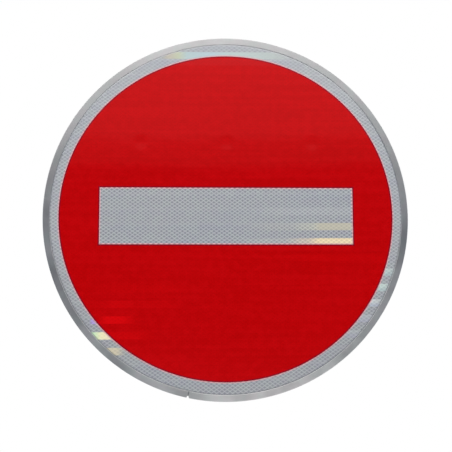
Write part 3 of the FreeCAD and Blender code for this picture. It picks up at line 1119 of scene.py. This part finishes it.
class SIGN_OT_rails(bpy.types.Operator):
    """Draws the slotted fixing rail and copies it below"""

    bl_idname = "sign.rails"
    bl_label = "Fixing rails"

    def execute(self, context):
        rails = settings(context).rails
        rivets = settings(context).rivets
        front, back = RAIL_LOW.y, RAIL_HIGH.y
        wall = rails.wall
        web_back = front + wall
        lip_front = back - rails.lip_thickness
        rail = block("fixing_rail_upper", RAIL_LOW, (RAIL_HIGH.x, web_back, RAIL_HIGH.z))
        start_edit(rail)
        for z in (RAIL_LOW.z + wall, RAIL_HIGH.z - wall):
            split_at((0, 0, z), (0, 0, 1))
        pick(rail, "FACE", lambda item: (item.normal.dot(BACK) > FACING
                                         and abs(middle(item).z - RAIL_HEIGHT) > wall))
        draw_out((0, lip_front - web_back, 0))
        draw_out((0, rails.lip_thickness, 0))
        inner = (RAIL_HIGH.z - RAIL_LOW.z) / 2 - wall
        lip = inner - rails.slot_width / 2
        for side in (1, -1):
            pick(rail, "FACE", lambda item: (
                item.normal.z * side < -FACING
                and abs((middle(item).z - RAIL_HEIGHT) * side - inner) < NEAR
                and middle(item).y > lip_front))
            draw_out((0, 0, -side * lip))
        self.round_edges(rail, rails, back, lip_front)
        end_edit()
        for x in RIVET_ROW:
            hole = rod("hole", rivets.shank_radius + RIVET_ROOM, front - PAST,
                       web_back + PAST, rivets.corners, x, RAIL_HEIGHT)
            cut_away(rail, hole)
        lower = copied(rail, "fixing_rail_lower", (0, 0, -RAIL_DROP))
        finish = rail_finish(rails)
        for piece, node in ((rail, "rail_upper"), (lower, "rail_lower")):
            smooth(piece, degrees=32)
            install(piece, finish, "rail_aluminium", node)
        return {"FINISHED"}

    def round_edges(self, rail, rails, back, lip_front):
        """Rounds the long edges: the outer rear corners, then the slot's, then the rest."""
        half = (RAIL_HIGH.z - RAIL_LOW.z) / 2
        slot = rails.slot_width / 2

        def long_edge(item, across, depths):
            first, second = item.verts
            spot = middle(item)
            return (abs(first.co.x - second.co.x) > LONG
                    and abs(abs(spot.z - RAIL_HEIGHT) - across) < NEAR
                    and any(abs(spot.y - depth) < NEAR for depth in depths))

        pick(rail, "EDGE", lambda item: long_edge(item, half, (back,)))
        bpy.ops.mesh.bevel(offset=rails.corner, segments=4, affect="EDGES")
        pick(rail, "EDGE", lambda item: long_edge(item, slot, (back, lip_front)))
        bpy.ops.mesh.bevel(offset=rails.slot_round, segments=3, affect="EDGES")
        pick(rail, "EDGE", lambda item: (item.calc_face_angle(0) > math.radians(60)
                                         and not item.is_wire))
        bpy.ops.mesh.bevel(offset=rails.fine_round, segments=2, affect="EDGES")


class SIGN_OT_rail_rivets(bpy.types.Operator):
    """Sets the countersunk rivets of both rails"""

    bl_idname = "sign.rail_rivets"
    bl_label = "Rail rivets"

    def rivet(self, rivets, web_back):
        """One rivet on the sign's axis: sunk head, shank and a domed set head."""
        face = PLATE_LOW.y
        shank = rivets.shank_radius
        sunk = rivets.sunk_radius - shank
        rivet = rod("rivet", shank, face + sunk, web_back, rivets.corners)
        start_edit(rivet)
        pick_face(rivet, FRONT, face + sunk)
        draw_round((0, face, 0), -sunk, rivets.sunk_radius / shank)
        pick_face(rivet, BACK, web_back)
        spread(0, web_back, rivets.shop_height, shank, rivets.shop_radius, SHOP_HEAD)
        mend_surface()
        end_edit()
        return rivet

    def execute(self, context):
        rivets = settings(context).rivets
        model = self.rivet(rivets, RAIL_LOW.y + settings(context).rails.wall)
        finish = rivet_finish(rivets)
        for side, height in (("upper", RAIL_HEIGHT), ("lower", RAIL_HEIGHT - RAIL_DROP)):
            piece = joined([copied(model, "rivets_" + side, (x, 0, height)) for x in RIVET_ROW])
            smooth(piece, degrees=40)
            install(piece, finish, "rivet_aluminium", "rail_rivets_" + side)
        discard(model)
        return {"FINISHED"}


class SIGN_OT_joint_rivets(bpy.types.Operator):
    """Sets the blind rivets of the ring's joint"""

    bl_idname = "sign.joint_rivets"
    bl_label = "Joint rivets"

    def rivet(self, rivets):
        """One blind rivet beside the axis, with the mandrel's stub in its head."""
        seat = EDGE_HIGH.y
        bulb_back = BLIND_LOW.y + rivets.blind_bulb_length
        centre = rivets.blind_circle
        shank = rivets.blind_radius
        rivet = rod("blind_rivet", shank, bulb_back, seat, rivets.corners, centre)
        start_edit(rivet)
        pick_face(rivet, FRONT, bulb_back)
        spread(centre, bulb_back, -rivets.blind_bulb_length, shank, rivets.blind_bulb_radius,
               BLIND_BULB)
        pick_face(rivet, BACK, seat)
        spread(centre, seat, rivets.blind_head_height, shank, rivets.blind_head_radius,
               BLIND_HEAD)
        mend_surface()
        end_edit()
        return rivet

    def execute(self, context):
        rivets = settings(context).rivets
        model = self.rivet(rivets)
        joint = math.pi / 2 + settings(context).edge.joint_angle
        piece = joined([copied(model, "splice_rivets", angle=joint + math.radians(angle))
                        for angle in BLIND_ANGLES])
        smooth(piece, degrees=40)
        install(piece, bpy.data.materials["rivet_aluminium"], "rivet_aluminium", "joint_rivets")
        discard(model)
        return {"FINISHED"}


class SIGN_OT_plain_metal(bpy.types.Operator):
    """Gives the sign plate and the splice strip their finishes"""

    bl_idname = "sign.plain_metal"
    bl_label = "Plate and strip"

    def execute(self, context):
        rails = settings(context).rails
        for node, finish in (("sign_plate", plate_finish(rails)),
                             ("joint_plate", strip_finish(rails))):
            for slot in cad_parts[node].material_slots:
                slot.material = finish
        return {"FINISHED"}


class SIGN_OT_stage(bpy.types.Operator):
    """Sets the floor, lamps, surroundings and camera"""

    bl_idname = "sign.stage"
    bl_label = "Stage"

    def floor(self, stage):
        """A pale floor that fades into the background, with light strips for reflections."""
        piece = disc("floor", stage.floor_radius, 96, (0, 0, stage.floor_height))
        shading = Shading("pale_floor")
        shading.set(Base_Color=(*stage.floor_tint, 1.0), Roughness=0.9, Specular_IOR_Level=0.1)
        seen, glossy = shading.rays()
        away = shading.fade(shading.distance(shading.x, shading.y), 0.45, 1.05) * seen
        matt = Wire(shading, shading.surface.outputs[0])
        glow = shading.light("ShaderNodeEmission", WHITE, 1.0)
        across = shading.ramp(shading.evenly(shading.x, -FLOOR_REACH, FLOOR_REACH), FLOOR_LIGHT)
        front = shading.mix(shading.fade(shading.y, -2.4, -0.7), FAR_FLOOR_LIGHT, across)
        level = shading.mix(shading.fade(shading.y, -0.1, 0.1), front, REAR_FLOOR_LIGHT)
        strips = shading.light("ShaderNodeEmission", level, 1.0)
        shading.finish("Material Output",
                       shading.blend(glossy, shading.blend(away, matt, glow), strips))
        piece.data.materials.append(shading.material)

    def lamp(self, name, place, size, watts):
        """A round soft lamp turned to the sign's middle, which reflections don't show."""
        clear_selection()
        bpy.ops.object.light_add(type="AREA", location=place)
        lamp = bpy.context.object
        lamp.name = name
        lamp.data.shape = "DISK"
        lamp.data.size = size
        lamp.data.energy = watts
        lamp.visible_glossy = False
        lamp.rotation_euler = (-Vector(place)).to_track_quat("-Z", "Y").to_euler()

    def surroundings(self, stage):
        """White all round, with a dark card at eye level before the face in reflections."""
        world = bpy.data.worlds.new("studio")
        bpy.context.scene.world = world
        world.use_nodes = True
        sky = Nodes(world.node_tree)
        x, y, z = sky.split(sky.wire("ShaderNodeTexCoord", {}, "Generated"))
        height = sky.evenly(z, -1.0, 1.0)
        before, behind = [
            sky.ramp(height, [((sine + 1) / 2, tint) for sine, *tint in stops])
            for stops in (FRONT_LIGHT, REAR_LIGHT)]
        sides = sky.mix(sky.evenly(x, -0.2, 0.2), LEFT_LIGHT, RIGHT_LIGHT)
        before = sky.mix(sky.evenly(abs(x), 0.3, 0.8), before, sides, "LIGHTEN")
        before = sky.mix(sky.evenly(abs(x), 0.12, 0.50), before, UPPER_SIDE_LIGHT, "DARKEN")
        around = sky.mix(sky.evenly(y, -0.25, 0.25), before, behind)
        mirrored = sky.light("ShaderNodeBackground", around, stage.mirrored)
        even = sky.light("ShaderNodeBackground", WHITE, stage.surround)
        white = sky.light("ShaderNodeBackground", WHITE, 1.0)
        seen, glossy = sky.rays()
        sky.finish("World Output", sky.blend(seen, sky.blend(glossy, even, mirrored), white))

    def camera(self, stage):
        """The camera in the photo's place, turned to the sign's middle."""
        azimuth, elevation = stage.camera_azimuth, stage.camera_elevation
        outward = Vector((math.sin(azimuth) * math.cos(elevation),
                          -math.cos(azimuth) * math.cos(elevation), math.sin(elevation)))
        clear_selection()
        bpy.ops.object.camera_add(location=outward * stage.camera_distance)
        camera = bpy.context.object
        camera.name = "camera"
        look = outward.to_track_quat("Z", "Y").to_matrix()
        tilt = Matrix.Rotation(stage.camera_roll, 3, "Z")
        camera.rotation_euler = (look @ tilt).to_euler()
        camera.data.sensor_fit = "HORIZONTAL"
        camera.data.sensor_width = SENSOR_WIDTH
        camera.data.lens = stage.camera_lens
        camera.data.shift_x = stage.shift_x
        camera.data.shift_y = stage.shift_y
        camera.data.clip_start = 0.01
        bpy.context.scene.camera = camera

    def execute(self, context):
        stage = settings(context).stage
        self.floor(stage)
        for name, spot, size, setting in LAMPS:
            self.lamp(name, spot, size, getattr(stage, setting))
        self.surroundings(stage)
        self.camera(stage)
        context.scene.view_settings.view_transform = "Standard"
        return {"FINISHED"}


class SignSettings(bpy.types.PropertyGroup):
    """All settings of the sign"""

    edge: PointerProperty(type=EdgeSettings, name="Edge", description="The edge profile")
    face: PointerProperty(type=FaceSettings, name="Face", description="The face's two films")
    rails: PointerProperty(type=RailSettings, name="Rails", description="The fixing rails")
    rivets: PointerProperty(type=RivetSettings, name="Rivets", description="The rivets")
    stage: PointerProperty(type=StageSettings, name="Stage", description="Floor and lights")


STEPS = (
    SIGN_OT_edge_profile,
    SIGN_OT_white_sheet,
    SIGN_OT_red_field,
    SIGN_OT_rails,
    SIGN_OT_rail_rivets,
    SIGN_OT_joint_rivets,
    SIGN_OT_plain_metal,
    SIGN_OT_stage,
)


class VIEW3D_PT_no_entry_sign(bpy.types.Panel):
    """Lists the sign's pieces and their settings"""

    bl_label = "No entry sign"
    bl_idname = "VIEW3D_PT_no_entry_sign"
    bl_space_type = "VIEW_3D"
    bl_region_type = "UI"
    bl_category = "No entry sign"

    def draw(self, context):
        for step in STEPS:
            self.layout.operator(step.bl_idname)
        sign = settings(context)
        for group in (sign.edge, sign.face, sign.rails, sign.rivets, sign.stage):
            box = self.layout.box()
            for name in group.bl_rna.properties.keys():
                if name not in {"rna_type", "name"}:
                    box.prop(group, name)


CLASSES = (EdgeSettings, FaceSettings, RailSettings, RivetSettings, StageSettings,
           SignSettings, *STEPS, VIEW3D_PT_no_entry_sign)


def register():
    for item in CLASSES:
        bpy.utils.register_class(item)
    bpy.types.Scene.no_entry_sign = PointerProperty(type=SignSettings)


def unregister():
    del bpy.types.Scene.no_entry_sign
    for item in reversed(CLASSES):
        bpy.utils.unregister_class(item)


def main():
    """Builds the sign and its stage."""
    register()
    for step in STEPS:
        group, name = step.bl_idname.split(".")
        getattr(getattr(bpy.ops, group), name)()


if __name__ == "__main__":
    main()
